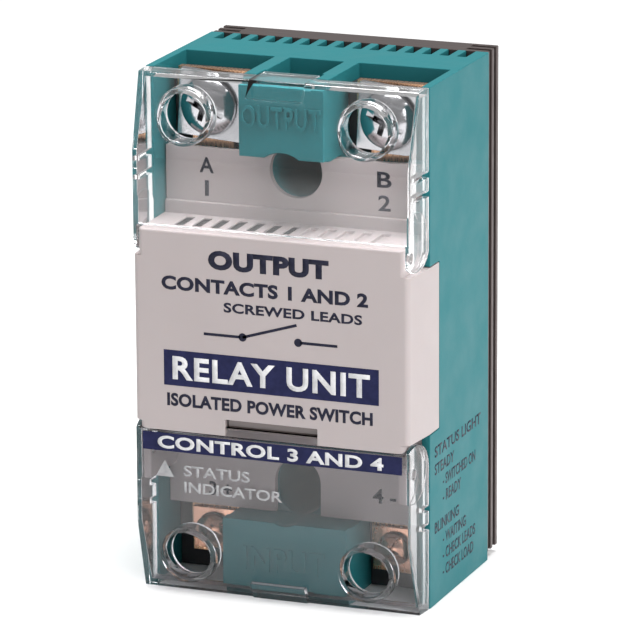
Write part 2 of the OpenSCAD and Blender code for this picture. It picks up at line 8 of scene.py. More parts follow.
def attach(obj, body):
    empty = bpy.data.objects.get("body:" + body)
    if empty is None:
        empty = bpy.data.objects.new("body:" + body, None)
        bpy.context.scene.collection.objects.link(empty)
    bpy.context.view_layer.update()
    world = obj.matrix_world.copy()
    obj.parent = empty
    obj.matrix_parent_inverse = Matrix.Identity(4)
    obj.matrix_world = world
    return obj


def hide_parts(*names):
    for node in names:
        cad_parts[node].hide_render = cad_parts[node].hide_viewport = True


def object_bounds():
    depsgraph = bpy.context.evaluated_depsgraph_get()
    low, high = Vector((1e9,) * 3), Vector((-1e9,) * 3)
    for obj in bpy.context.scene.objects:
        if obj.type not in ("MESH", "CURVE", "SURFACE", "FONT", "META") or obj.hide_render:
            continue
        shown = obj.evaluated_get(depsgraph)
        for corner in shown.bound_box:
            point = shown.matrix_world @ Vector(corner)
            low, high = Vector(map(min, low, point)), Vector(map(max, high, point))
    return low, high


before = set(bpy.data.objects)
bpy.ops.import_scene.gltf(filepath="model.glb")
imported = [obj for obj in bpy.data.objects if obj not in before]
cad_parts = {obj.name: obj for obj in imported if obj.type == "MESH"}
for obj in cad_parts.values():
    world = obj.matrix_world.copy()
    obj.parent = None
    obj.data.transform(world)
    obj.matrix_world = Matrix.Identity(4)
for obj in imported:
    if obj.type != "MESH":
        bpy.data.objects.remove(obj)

cadLow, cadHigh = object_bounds()

mm = 0.001
floorZ = cadLow.z

# Planes that several pieces share, in millimetres from the rear face of the plate
relay = {
    "panelY": -44.9,      # front of the white block
    "rimY": -36.5,        # front edge of the moulded body
    "labelY": -31.9,      # white faces beside the terminals
    "barrierY": -38.9,    # front of the two barriers
    "halfWidth": 26.5,
    "outputX": 16.84,
    "outputZ": 39.3,
    "inputX": 17.3,
    "inputZ": -38.6,
}

camera = {
    "azimuth": 21.625,
    "elevation": 15.267,
    "roll": -0.428,
    "distance": 928.05,
    "target": (0.0, -36.5, 0.0),
    "aimRight": 5.60,
    "aimUp": 3.18,
    "lens": 297.66,
}


def deselectAll():
    if bpy.context.object and bpy.context.object.mode != "OBJECT":
        bpy.ops.object.mode_set(mode="OBJECT")
    bpy.ops.object.select_all(action="DESELECT")


def pick(piece):
    deselectAll()
    piece.select_set(True)
    bpy.context.view_layer.objects.active = piece
    return piece


def settle(piece):
    # puts the place, turn and size into the mesh
    pick(piece)
    bpy.ops.object.transform_apply(location=True, rotation=True, scale=True)
    return piece


def named(name):
    piece = bpy.context.object
    piece.name = name
    piece.data.name = name
    return settle(piece)


def addBlock(name, low, high):
    deselectAll()
    centre = [(a + b) / 2 * mm for a, b in zip(low, high)]
    size = [(b - a) * mm for a, b in zip(low, high)]
    bpy.ops.mesh.primitive_cube_add(size=1, location=centre, scale=size)
    return named(name)


def addRod(name, x, z, radius, frontY, rearY, sides=64, ends="NGON"):
    # a round bar along the depth of the relay
    deselectAll()
    bpy.ops.mesh.primitive_cylinder_add(
        vertices=sides, radius=radius * mm, depth=(rearY - frontY) * mm, end_fill_type=ends,
        location=(x * mm, (frontY + rearY) / 2 * mm, z * mm), rotation=(math.pi / 2, 0, 0))
    return named(name)


def applyModifier(piece, kind, **settings):
    pick(piece)
    modifier = piece.modifiers.new(kind.title(), kind)
    for key, value in settings.items():
        setattr(modifier, key, value)
    bpy.ops.object.modifier_apply(modifier=modifier.name)
    return piece


def cutWith(piece, cutter, operation="DIFFERENCE"):
    applyModifier(piece, "BOOLEAN", operation=operation, solver="EXACT", object=cutter)
    bpy.data.objects.remove(cutter)
    return piece


def addTo(piece, extra):
    return cutWith(piece, extra, "UNION")


def addPin(name, y, z, radius, leftX, rightX, sides=48):
    # a round bar across the relay
    deselectAll()
    bpy.ops.mesh.primitive_cylinder_add(
        vertices=sides, radius=radius * mm, depth=(rightX - leftX) * mm,
        location=((leftX + rightX) / 2 * mm, y * mm, z * mm), rotation=(0, math.pi / 2, 0))
    return named(name)


def roundEdges(piece, test, radius, segments=6):
    # rounds the edges whose middle and direction pass the test
    pick(piece)
    bpy.ops.object.mode_set(mode="EDIT")
    bpy.ops.mesh.select_mode(type="EDGE")
    bpy.ops.mesh.select_all(action="DESELECT")
    bpy.ops.object.mode_set(mode="OBJECT")
    for edge in piece.data.edges:
        a, b = (piece.data.vertices[i].co / mm for i in edge.vertices)
        edge.select = test((a + b) / 2, (b - a).normalized())
    bpy.ops.object.mode_set(mode="EDIT")
    bpy.ops.mesh.bevel(offset=radius * mm, segments=segments, profile=0.5)
    bpy.ops.mesh.select_mode(type="VERT")
    bpy.ops.object.mode_set(mode="OBJECT")
    return piece


# room: length wanted beside an eased edge, in widths; sameWay: cosine past which two edges run alike
easing = {"room": 2.4, "sameWay": 0.87}


def edgeWay(edge):
    return (edge.verts[1].co - edge.verts[0].co).normalized()


def easeEdges(piece, width, segments=2, angle=34):
    # a small radius on every sharp edge, made smaller where a short edge leaves it no room
    mesh = bmesh.new()
    mesh.from_mesh(piece.data)
    weights = []
    for edge in mesh.edges:
        if edge.calc_face_angle(0) < math.radians(angle):
            weights.append(0)
            continue
        way = edgeWay(edge)
        needed = easing["room"] * width * mm
        room = needed
        for vertex in edge.verts:
            for other in vertex.link_edges:
                if other is not edge and abs(edgeWay(other).dot(way)) < easing["sameWay"]:
                    room = min(room, other.calc_length())
        weights.append(room / needed)
    mesh.free()
    layer = piece.data.attributes.new("bevel_weight_edge", "FLOAT", "EDGE")
    layer.data.foreach_set("value", weights)
    low = [min(v.co[i] for v in piece.data.vertices) for i in range(3)]
    high = [max(v.co[i] for v in piece.data.vertices) for i in range(3)]
    applyModifier(piece, "BEVEL", width=width * mm, segments=segments, limit_method="WEIGHT",
                  use_clamp_overlap=False, miter_outer="MITER_ARC")
    # where three edges meet at a flat angle the new corner can stand proud, and is put back
    for vertex in piece.data.vertices:
        vertex.co = [min(max(c, a), b) for c, a, b in zip(vertex.co, low, high)]
    return piece


def smooth(piece, angle=32):
    pick(piece)
    bpy.ops.object.shade_smooth_by_angle(angle=math.radians(angle))
    # large flat faces keep their own direction beside the eased edges
    return applyModifier(piece, "WEIGHTED_NORMAL", keep_sharp=True, weight=60)


def join(name, pieces):
    deselectAll()
    for piece in pieces:
        piece.select_set(True)
    bpy.context.view_layer.objects.active = pieces[0]
    if len(pieces) > 1:
        bpy.ops.object.join()
    pieces[0].name = name
    pieces[0].data.name = name
    return pieces[0]


def copyNode(nodeName, name, weld=0.002, flat=0.6):
    # a welded copy of a frame node, with its flat faces made whole
    piece = bpy.data.objects.new(name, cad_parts[nodeName].data.copy())
    piece.data.name = name
    bpy.context.scene.collection.objects.link(piece)
    piece.data.materials.clear()
    pick(piece)
    bpy.ops.object.mode_set(mode="EDIT")
    bpy.ops.mesh.select_all(action="SELECT")
    bpy.ops.mesh.remove_doubles(threshold=weld * mm)
    bpy.ops.mesh.customdata_custom_splitnormals_clear()
    bpy.ops.mesh.dissolve_limited(angle_limit=math.radians(flat))
    bpy.ops.object.mode_set(mode="OBJECT")
    return piece


def finishPiece(piece, body, material, slotName, *nodes):
    piece.data.materials.clear()
    piece.data.materials.append(material)
    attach(piece, body)
    if nodes:
        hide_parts(*nodes)
    return piece


# finishes: every look is a dictionary, and the functions make materials from them

def newMaterial(name):
    material = bpy.data.materials.new(name)
    material.use_nodes = True
    tree = material.node_tree
    shader = tree.nodes["Principled BSDF"]
    place = tree.nodes.new("ShaderNodeTexCoord")
    return material, tree, shader, place


def noiseNode(tree, place, scale, detail=3.0, stretch=None):
    noise = tree.nodes.new("ShaderNodeTexNoise")
    noise.inputs["Scale"].default_value = scale
    noise.inputs["Detail"].default_value = detail
    if stretch:
        mapping = tree.nodes.new("ShaderNodeMapping")
        mapping.inputs["Scale"].default_value = stretch
        tree.links.new(place.outputs["Object"], mapping.inputs["Vector"])
        tree.links.new(mapping.outputs["Vector"], noise.inputs["Vector"])
    else:
        tree.links.new(place.outputs["Object"], noise.inputs["Vector"])
    return noise


def rampNode(tree, source, stops):
    ramp = tree.nodes.new("ShaderNodeValToRGB")
    elements = ramp.color_ramp.elements
    elements[0].position, elements[0].color = stops[0][0], (*stops[0][1], 1)
    elements[1].position, elements[1].color = stops[-1][0], (*stops[-1][1], 1)
    for at, colour in stops[1:-1]:
        elements.new(at).color = (*colour, 1)
    tree.links.new(source, ramp.inputs["Fac"])
    return ramp


def rangeNode(tree, source, low, high):
    rangeMap = tree.nodes.new("ShaderNodeMapRange")
    rangeMap.inputs["From Min"].default_value = 0.3
    rangeMap.inputs["From Max"].default_value = 0.7
    rangeMap.inputs["To Min"].default_value = low
    rangeMap.inputs["To Max"].default_value = high
    tree.links.new(source, rangeMap.inputs["Value"])
    return rangeMap


def bumpNode(tree, shader, source, strength, distance, under=None):
    bump = tree.nodes.new("ShaderNodeBump")
    bump.inputs["Strength"].default_value = strength
    bump.inputs["Distance"].default_value = distance * mm
    tree.links.new(source, bump.inputs["Height"])
    if under:
        tree.links.new(under.outputs["Normal"], bump.inputs["Normal"])
    tree.links.new(bump.outputs["Normal"], shader.inputs["Normal"])
    return bump


def shade(colour, factor):
    return tuple(min(1.0, c * factor) for c in colour)


def mouldedPlastic(name, look):
    # fine spark-eroded grain, slow colour drift and handling marks in the gloss
    material, tree, shader, place = newMaterial(name)
    drift = noiseNode(tree, place, look["driftScale"], 4)
    tone = rampNode(tree, drift.outputs["Fac"], [
        (0.3, shade(look["colour"], 1 - look["drift"])), (0.7, shade(look["colour"], 1 + look["drift"]))])
    tree.links.new(tone.outputs["Color"], shader.inputs["Base Color"])
    marks = noiseNode(tree, place, look["markScale"], 6)
    gloss = rangeNode(tree, marks.outputs["Fac"], look["roughLow"], look["roughHigh"])
    tree.links.new(gloss.outputs["Result"], shader.inputs["Roughness"])
    grain = noiseNode(tree, place, look["grainScale"], 2)
    bumpNode(tree, shader, grain.outputs["Fac"], look["grain"], look["grainDepth"])
    shader.inputs["Specular IOR Level"].default_value = look.get("specular", 0.5)
    shader.inputs["Subsurface Weight"].default_value = look.get("subsurface", 0.0)
    shader.inputs["Subsurface Scale"].default_value = 0.4 * mm
    return material


def platedMetal(name, look):
    # bright plating with faint drawing lines and duller patches
    material, tree, shader, place = newMaterial(name)
    shader.inputs["Metallic"].default_value = look.get("metallic", 1.0)
    patch = noiseNode(tree, place, look["patchScale"], 5)
    tone = rampNode(tree, patch.outputs["Fac"], [(0.3, shade(look["colour"], 0.9)), (0.72, look["colour"])])
    # painted shade: the base colour is darkened in recesses and threads, by how enclosed each point is
    hollow = tree.nodes.new("ShaderNodeAmbientOcclusion")
    hollow.inputs["Distance"].default_value = look.get("shadeReach", 0.3) * mm
    hollow.samples = 8
    shadeRamp = rampNode(tree, hollow.outputs["AO"], [(0.35, (0.05, 0.05, 0.05)), (0.85, (1, 1, 1))])
    shadedTone = tree.nodes.new("ShaderNodeMix")
    shadedTone.data_type, shadedTone.blend_type = "RGBA", "MULTIPLY"
    shadedTone.inputs["Factor"].default_value = 1
    tree.links.new(tone.outputs["Color"], shadedTone.inputs[6])
    tree.links.new(shadeRamp.outputs["Color"], shadedTone.inputs[7])
    tree.links.new(shadedTone.outputs[2], shader.inputs["Base Color"])
    lines = noiseNode(tree, place, look["lineScale"], 3, look["lineStretch"])
    gloss = rangeNode(tree, lines.outputs["Fac"], look["roughLow"], look["roughHigh"])
    tree.links.new(gloss.outputs["Result"], shader.inputs["Roughness"])
    bumpNode(tree, shader, lines.outputs["Fac"], look["lineBump"], 0.02)
    return material


def clearPlastic(name, look):
    # polished polycarbonate; lamps shine through it, and its wall bends the view a little
    material, tree, shader, place = newMaterial(name)
    shader.inputs["Base Color"].default_value = (*look["colour"], 1)
    shader.inputs["Transmission Weight"].default_value = look["transmission"]
    shader.inputs["IOR"].default_value = look["ior"]
    shader.inputs["Coat Weight"].default_value = look["coat"]
    shader.inputs["Coat Roughness"].default_value = 0.03
    marks = noiseNode(tree, place, look["markScale"], 5)
    gloss = rangeNode(tree, marks.outputs["Fac"], look["roughLow"], look["roughHigh"])
    tree.links.new(gloss.outputs["Result"], shader.inputs["Roughness"])
    flow = noiseNode(tree, place, look["flowScale"], 2)
    bumpNode(tree, shader, flow.outputs["Fac"], 0.12, look["flowDepth"])
    through = tree.nodes.new("ShaderNodeBsdfTransparent")
    through.inputs["Color"].default_value = (*look["shadow"], 1)
    path = tree.nodes.new("ShaderNodeLightPath")
    mix = tree.nodes.new("ShaderNodeMixShader")
    output = tree.nodes["Material Output"]
    # light thrown about inside the wall many times leaves it straight on, not as a black patch
    spent = tree.nodes.new("ShaderNodeMath")
    spent.operation = "GREATER_THAN"
    spent.inputs[1].default_value = look.get("depth", 3)
    straight = tree.nodes.new("ShaderNodeMath")
    straight.operation = "MAXIMUM"
    tree.links.new(path.outputs["Ray Depth"], spent.inputs[0])
    tree.links.new(path.outputs["Is Shadow Ray"], straight.inputs[0])
    tree.links.new(spent.outputs["Value"], straight.inputs[1])
    tree.links.new(straight.outputs["Value"], mix.inputs["Fac"])
    tree.links.new(shader.outputs["BSDF"], mix.inputs[1])
    tree.links.new(through.outputs["BSDF"], mix.inputs[2])
    tree.links.new(mix.outputs["Shader"], output.inputs["Surface"])
    return material


def printInk(name, look):
    # pad-printed ink, thin in places
    material, tree, shader, place = newMaterial(name)
    worn = noiseNode(tree, place, 900, 5)
    tone = rampNode(tree, worn.outputs["Fac"], [(0.3, shade(look["colour"], 0.85)), (0.75, look["worn"])])
    tree.links.new(tone.outputs["Color"], shader.inputs["Base Color"])
    gloss = rangeNode(tree, worn.outputs["Fac"], look["roughLow"], look["roughHigh"])
    tree.links.new(gloss.outputs["Result"], shader.inputs["Roughness"])
    shader.inputs["Specular IOR Level"].default_value = 0.1
    return material


finishes = {
    "teal": {"colour": (0.019, 0.150, 0.166), "specular": 0.12, "drift": 0.02, "driftScale": 40,
             "markScale": 160, "roughLow": 0.38, "roughHigh": 0.52, "grainScale": 5200,
             "grain": 0.22, "grainDepth": 0.03},
    "white": {"colour": (0.40, 0.352, 0.35), "specular": 0.35, "drift": 0.02, "driftScale": 45,
              "markScale": 200, "roughLow": 0.40, "roughHigh": 0.52, "grainScale": 5600,
              "grain": 0.16, "grainDepth": 0.03,
              "subsurface": 0.04},
    "dark": {"colour": (0.018, 0.018, 0.020), "drift": 0.12, "driftScale": 60, "markScale": 250,
             "roughLow": 0.42, "roughHigh": 0.6, "grainScale": 4500, "grain": 0.3, "grainDepth": 0.03},
    "epoxy": {"colour": (0.012, 0.012, 0.013), "drift": 0.1, "driftScale": 120, "markScale": 400,
              "roughLow": 0.5, "roughHigh": 0.65, "grainScale": 8000, "grain": 0.25, "grainDepth": 0.02},
    "board": {"colour": (0.010, 0.085, 0.035), "drift": 0.15, "driftScale": 300, "markScale": 500,
              "roughLow": 0.25, "roughHigh": 0.4, "grainScale": 2500, "grain": 0.2, "grainDepth": 0.02},
    "alumina": {"colour": (0.82, 0.80, 0.74), "drift": 0.03, "driftScale": 90, "markScale": 300,
                "roughLow": 0.45, "roughHigh": 0.6, "grainScale": 7000, "grain": 0.2, "grainDepth": 0.02},
    "capacitor": {"colour": (0.012, 0.055, 0.24), "drift": 0.06, "driftScale": 100, "markScale": 300,
                  "roughLow": 0.2, "roughHigh": 0.35, "grainScale": 6000, "grain": 0.1, "grainDepth": 0.02},
    "resistor": {"colour": (0.42, 0.30, 0.15), "drift": 0.08, "driftScale": 200, "markScale": 400,
                 "roughLow": 0.35, "roughHigh": 0.5, "grainScale": 3000, "grain": 0.3, "grainDepth": 0.03},
    "varistor": {"colour": (0.010, 0.035, 0.16), "drift": 0.1, "driftScale": 150, "markScale": 300,
                 "roughLow": 0.3, "roughHigh": 0.5, "grainScale": 1500, "grain": 0.4, "grainDepth": 0.05},
    "gel": {"colour": (0.50, 0.53, 0.48), "drift": 0.06, "driftScale": 80, "markScale": 200,
            "roughLow": 0.15, "roughHigh": 0.3, "grainScale": 600, "grain": 0.2, "grainDepth": 0.05,
            "subsurface": 0.3},
}
# the reach values set how far the painted shade in recesses and threads spreads, in millimetres
metals = {
    "plate": {"colour": (0.115, 0.092, 0.088), "metallic": 0.7, "patchScale": 90, "lineScale": 300,
              "lineStretch": (0.4, 9.0, 1.2), "roughLow": 0.34, "roughHigh": 0.5, "lineBump": 0.25},
    "nickel": {"colour": (0.62, 0.62, 0.64), "shadeReach": 0.9, "patchScale": 500, "lineScale": 900,
               "lineStretch": (1.0, 1.0, 1.0), "roughLow": 0.10, "roughHigh": 0.22, "lineBump": 0.06},
    "copper": {"colour": (0.72, 0.42, 0.26), "patchScale": 400, "lineScale": 700,
               "lineStretch": (4.0, 1.0, 0.6), "roughLow": 0.20, "roughHigh": 0.34, "lineBump": 0.08},
    "rose": {"colour": (0.74, 0.42, 0.30), "shadeReach": 0.7, "patchScale": 700, "lineScale": 900,
             "lineStretch": (1.0, 1.0, 1.0), "roughLow": 0.16, "roughHigh": 0.30, "lineBump": 0.06},
    "silicon": {"colour": (0.20, 0.21, 0.26), "patchScale": 300, "lineScale": 500,
                "lineStretch": (1.0, 1.0, 1.0), "roughLow": 0.08, "roughHigh": 0.16, "lineBump": 0.02},
}
clears = {
    "cover": {"colour": (0.95, 0.95, 0.955), "transmission": 1.0, "ior": 1.33, "coat": 0.8,
              "markScale": 260,
              "roughLow": 0.01, "roughHigh": 0.03, "flowScale": 45, "flowDepth": 0.06,
              "shadow": (0.95, 0.95, 0.955)},
    # painted shade: the lower cover's grey tint and lamp tint are darker than the upper cover's, so the
    # lower chambers look shaded
    "lowerCover": {"colour": (0.76, 0.76, 0.775), "transmission": 1.0, "ior": 1.33, "coat": 0.3,
                   "markScale": 260,
                   "roughLow": 0.01, "roughHigh": 0.03, "flowScale": 45, "flowDepth": 0.06,
                   "shadow": (0.72, 0.72, 0.73)},
    "lens": {"colour": (0.17, 0.135, 0.13), "transmission": 0.08, "ior": 1.49, "coat": 0.3,
              "markScale": 300,
             "roughLow": 0.05, "roughHigh": 0.12, "flowScale": 60, "flowDepth": 0.05,
             "shadow": (0.3, 0.22, 0.2)},
    "guide": {"colour": (0.95, 0.97, 0.97), "transmission": 1.0, "ior": 1.49, "coat": 0.0, "markScale": 300,
              "roughLow": 0.03, "roughHigh": 0.08, "flowScale": 60, "flowDepth": 0.05,
              "shadow": (0.9, 0.92, 0.92)},
    "led": {"colour": (0.80, 0.92, 0.78), "transmission": 0.85, "ior": 1.5, "coat": 0.0, "markScale": 300,
            "roughLow": 0.1, "roughHigh": 0.2, "flowScale": 90, "flowDepth": 0.05,
            "shadow": (0.7, 0.85, 0.7)},
}
inks = {
    "navy": {"colour": (0.012, 0.014, 0.055), "worn": (0.018, 0.021, 0.072),
             "roughLow": 0.32, "roughHigh": 0.45},
    "white": {"colour": (0.60, 0.60, 0.61), "worn": (0.68, 0.68, 0.69),
              "roughLow": 0.4, "roughHigh": 0.5},
    "pale": {"colour": (0.34, 0.34, 0.35), "worn": (0.42, 0.42, 0.43),
             "roughLow": 0.4, "roughHigh": 0.5},
    "grey": {"colour": (0.014, 0.015, 0.030), "worn": (0.022, 0.023, 0.042),
             "roughLow": 0.4, "roughHigh": 0.5},
}

tealPlastic = mouldedPlastic("tealPlastic", finishes["teal"])
whitePlastic = mouldedPlastic("whitePlastic", finishes["white"])
darkPlastic = mouldedPlastic("darkPlastic", finishes["dark"])
blackEpoxy = mouldedPlastic("blackEpoxy", finishes["epoxy"])
boardLaminate = mouldedPlastic("boardLaminate", finishes["board"])
aluminaTile = mouldedPlastic("aluminaTile", finishes["alumina"])
capacitorBox = mouldedPlastic("capacitorBox", finishes["capacitor"])
resistorLacquer = mouldedPlastic("resistorLacquer", finishes["resistor"])
varistorDip = mouldedPlastic("varistorDip", finishes["varistor"])
softGel = mouldedPlastic("softGel", finishes["gel"])
anodisedPlate = platedMetal("anodisedPlate", metals["plate"])
brightNickel = platedMetal("brightNickel", metals["nickel"])
copperStrip = platedMetal("copperStrip", metals["copper"])
rosePlate = platedMetal("rosePlate", metals["rose"])
chipSilicon = platedMetal("chipSilicon", metals["silicon"])
coverClear = clearPlastic("coverClear", clears["cover"])
lowerClearShaded = clearPlastic("lowerClearShaded", clears["lowerCover"])
smokedLens = clearPlastic("smokedLens", clears["lens"])
guideClear = clearPlastic("guideClear", clears["guide"])
ledResin = clearPlastic("ledResin", clears["led"])
navyInk = printInk("navyInk", inks["navy"])
whiteInk = printInk("whiteInk", inks["white"])
greyInk = printInk("greyInk", inks["grey"])
paleInk = printInk("paleInk", inks["pale"])
print("finishes made")

# inner pieces keep their shape and get their finish
innerFinish = {
    "light_guide": guideClear, "indicator_led": ledResin, "driver_board": boardLaminate,
    "optocoupler": blackEpoxy, "snubber_capacitor": capacitorBox, "snubber_resistor": resistorLacquer,
    "surge_varistor": varistorDip, "input_parts": blackEpoxy, "heat_sensor": blackEpoxy,
    "power_substrate": aluminaTile, "power_chips": chipSilicon, "gate_pins": copperStrip,
    "potting_gel": softGel, "output_nuts": brightNickel, "input_nuts": brightNickel,
}
for nodeName, material in innerFinish.items():
    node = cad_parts[nodeName]
    node.data.materials.clear()
    node.data.materials.append(material)

# moulded body
bodyShell = {"edge": 0.2, "letterLift": 0.42, "seatHalf": 5.6, "seatZ": 45.2,
             "upSeatRear": -32.6, "lowSeatRear": -35.8}
housing = copyNode("housing", "mouldedBody")
seat, seatZ = bodyShell["seatHalf"], bodyShell["seatZ"]
# seats for the two latches, cut clean through the front of the barriers
cutWith(housing, addBlock("upSeat", (-seat, -40, seatZ), (seat, bodyShell["upSeatRear"], 48)))
cutWith(housing, addBlock("lowSeat", (-seat, -40, -48), (seat, bodyShell["lowSeatRear"], -seatZ)))
easeEdges(housing, bodyShell["edge"])


def letterMesh(name, words, width, height, x, y, z, align="CENTER", bold=0.0, lift=0.02, side="front",
               gapScale=1.0):
    # words on the front or on the right side, stretched to their width and height in millimetres
    deselectAll()
    bpy.ops.object.text_add()
    text = bpy.context.object
    text.data.body = words
    text.data.size = 1
    text.data.offset = bold
    text.data.space_character = gapScale
    text.data.resolution_u = 4
    bpy.ops.object.convert(target="MESH")
    piece = bpy.context.object
    corners = [v.co for v in piece.data.vertices]
    left, right = min(c.x for c in corners), max(c.x for c in corners)
    low, high = min(c.y for c in corners), max(c.y for c in corners)
    sx = width * mm / (right - left)
    sy = height * mm / (high - low)
    shift = {"CENTER": (left + right) / 2, "LEFT": left, "RIGHT": right}[align]
    piece.data.transform(Matrix.Diagonal((sx, sy, 1, 1)) @ Matrix.Translation((-shift, -low, 0)))
    pick(piece)
    bpy.ops.object.mode_set(mode="EDIT")
    bpy.ops.mesh.select_all(action="SELECT")
    bpy.ops.mesh.remove_doubles(threshold=0.002 * mm)
    bpy.ops.mesh.extrude_region_move(TRANSFORM_OT_translate={"value": (0, 0, lift * mm)})
    bpy.ops.mesh.select_all(action="SELECT")
    bpy.ops.mesh.normals_make_consistent(inside=False)
    bpy.ops.object.mode_set(mode="OBJECT")
    turn = (math.pi / 2, 0, 0) if side == "front" else (math.pi / 2, 0, math.pi / 2)
    piece.rotation_euler = turn
    piece.location = (x * mm, y * mm, z * mm)
    return named(name)


embossUpper = letterMesh("embossUpper", "OUTPUT", 14.8, 4.0, 0, relay["barrierY"] + 0.05, 38.0,
                         bold=0.02, lift=bodyShell["letterLift"], gapScale=1.1)
embossLower = letterMesh("embossLower", "INPUT", 15.4, 4.4, 0, relay["barrierY"] + 0.05, -42.4,
                         bold=0.02, lift=bodyShell["letterLift"], gapScale=1.1)
housing = join("mouldedBody", [housing, embossUpper, embossLower])
finishPiece(smooth(housing), "relay", tealPlastic, "teal_plastic", "housing")
print("moulded body made")

# base plate
plate = easeEdges(copyNode("base_plate", "basePlate"), 0.18)
finishPiece(smooth(plate), "relay", anodisedPlate, "anodised_plate", "base_plate")

plateScrews = easeEdges(copyNode("housing_screws", "plateScrews"), 0.06, 1)
finishPiece(smooth(plateScrews), "relay", brightNickel, "nickel", "housing_screws")
print("base plate made")

# white front cover
whiteCover = {
    "frontHalf": 25.65, "cheekOut": 24.8, "cheekIn": 23.3, "corner": 0.9, "topCorner": 0.45,
    "tabTop": 15.0, "tabRear": -31.8,
    "ledge": 19.8, "lip": -16.46, "wall": 1.6, "labelHalf": 24.6, "labelRear": -30.5,
    "labelTop": 32.0, "labelEnd": -33.2, "riserTop": 22.0, "riserFront": -32.6,
    "slots": 12, "openSlots": 6, "firstSlot": -19.0, "slotPitch": 3.35, "slotHalf": 0.85,
    "wellRadius": 4.9, "wellZ": 29.0, "openRadius": 4.3,
    "upHinge": (-43.1, 18.2), "lowHinge": (-41.95, -20.8), "sweep": 5.25, "bore": 0.96, "boss": 1.45,
    "windowHalf": 8.65, "windowTop": -13.5, "shadeSheetGap": 0.4, "edge": 0.12,
}


def makeFrontCover(look):
    panel, rim = relay["panelY"], relay["rimY"]
    half, out = relay["halfWidth"], look["cheekOut"]
    top, ledge = look["tabTop"], look["ledge"]

    def frontCorner(at, way):
        return abs(way.z) > 0.9 and at.y < panel + 0.1

    def ledgeEdge(at, way):
        return abs(way.x) > 0.9 and at.y < panel + 0.1 and abs(at.z - ledge) < 0.1

    body = addBlock("frontCover", (-half, panel, -top), (half, look["tabRear"], top))
    bpy.ops.object.mode_set(mode="EDIT")
    bpy.ops.mesh.select_all(action="SELECT")
    bpy.ops.mesh.bisect(plane_co=(0, rim * mm, 0), plane_no=(0, 1, 0))
    bpy.ops.mesh.select_all(action="DESELECT")
    bpy.ops.object.mode_set(mode="OBJECT")
    for vertex in body.data.vertices:
        vertex.select = vertex.co.y < (panel + 0.1) * mm
    bpy.ops.object.mode_set(mode="EDIT")
    bpy.ops.transform.resize(value=(look["frontHalf"] / half, 1, 1))
    bpy.ops.object.mode_set(mode="OBJECT")
    roundEdges(body, frontCorner, look["corner"])
    topPart = addBlock("topPart", (-out, panel, top - 0.5), (out, look["labelRear"], ledge))
    addTo(body, roundEdges(topPart, frontCorner, look["corner"]))
    lipPart = addBlock("lipPart", (-out, panel, look["lip"]), (out, panel + 3.2, -top + 0.5))
    addTo(body, roundEdges(lipPart, frontCorner, look["corner"]))
    roundEdges(body, ledgeEdge, look["topCorner"], 4)
    labelHalf, labelY, rear = look["labelHalf"], relay["labelY"], look["labelRear"]
    addTo(body, addBlock("labelTop", (-labelHalf, labelY, 18.9), (labelHalf, rear, look["labelTop"])))
    addTo(body, addBlock("labelLow", (-labelHalf, labelY, look["labelEnd"]), (labelHalf, rear, -14.3)))
    addTo(body, addBlock("riser", (-labelHalf, look["riserFront"], 19.0),
                         (labelHalf, labelY + 0.2, look["riserTop"])))
    inner = look["cheekIn"]
    cutWith(body, addBlock("hollow", (-inner, panel + look["wall"], -14.4),
                           (inner, rear + 1, ledge - look["wall"])))
    lowY, lowZ = look["lowHinge"]
    cutWith(body, addPin("sweep", lowY, lowZ, look["sweep"], -half - 1, half + 1, 96))
    for sign in (-1, 1):
        a, b = sorted((sign * inner, sign * (out - 0.1)))
        cheek = addBlock("cheek", (a, lowY - look["boss"], -26.0), (b, labelY + 0.4, lowZ + 0.65))
        addTo(cheek, addPin("boss", lowY, lowZ, look["boss"], a, b))
        addTo(body, cheek)
        for y, z in (look["upHinge"], look["lowHinge"]):
            cutWith(body, addPin("bore", y, z, look["bore"], a - 1, b + 1))
    window = look["windowHalf"]
    cutWith(body, addBlock("window", (-window, panel - 1, -17.5), (window, panel + 1.7, look["windowTop"])))
    cutWith(body, addBlock("windowWell", (-window, panel + 1.5, -14.6), (window, rim - 3, -10.5)))
    cutWith(body, addBlock("thinLedge", (-21.2, rim - 4.3, ledge - 2), (1.0, rim + 3.2, ledge - 0.35)))
    # vents in the ledge, the left ones open and the right ones blind, each with a small dash ahead of it
    cutters = []
    for i in range(look["slots"]):
        x = look["firstSlot"] + i * look["slotPitch"]
        deep = look["wall"] + 1 if i < look["openSlots"] else 0.5
        left, right = x - look["slotHalf"], x + look["slotHalf"]
        slotCut = addBlock("slot", (left, rim - 3.5, ledge - deep), (right, rim + 2.4, ledge + 1))
        roundEdges(slotCut, lambda at, way: abs(way.z) > 0.9, 0.3, 3)
        dash = addBlock("dash", (left, rim - 5.4, ledge - 0.5), (right, rim - 4.8, ledge + 1))
        cutters += [slotCut, dash]
    cutWith(body, join("slots", cutters))
    cutWith(body, addRod("well", 0, look["wellZ"], look["wellRadius"], labelY - 2, rear + 1))
    radius, wellTop = look["openRadius"], -27.4
    lowWell = addRod("lowWell", 0, wellTop, radius, labelY - 1, rear + 1)
    addTo(lowWell, addBlock("lowWellRun", (-radius, labelY - 1, -36), (radius, rear + 1, wellTop)))
    cutWith(body, lowWell)
    return easeEdges(body, look["edge"], 2, angle=38)


frontCover = makeFrontCover(whiteCover)
finishPiece(smooth(frontCover), "relay", whitePlastic, "white_plastic", "front_cover")
# dark sheet behind the open vents: painted shade, standing in for the shade inside them
shadeSheetTop = whiteCover["ledge"] - whiteCover["shadeSheetGap"]
ventShadeSheet = addBlock("ventShadeSheet", (-21.1, relay["rimY"] - 4.2, shadeSheetTop - 0.5),
                      (0.9, relay["rimY"] + 3.1, shadeSheetTop))
easeEdges(ventShadeSheet, 0.1)
finishPiece(smooth(ventShadeSheet), "relay", darkPlastic, "dark_plastic")
lens = easeEdges(copyNode("indicator_lens", "indicatorLens"), 0.1)
finishPiece(smooth(lens), "relay", smokedLens, "smoked_lens", "indicator_lens")
print("front cover made")

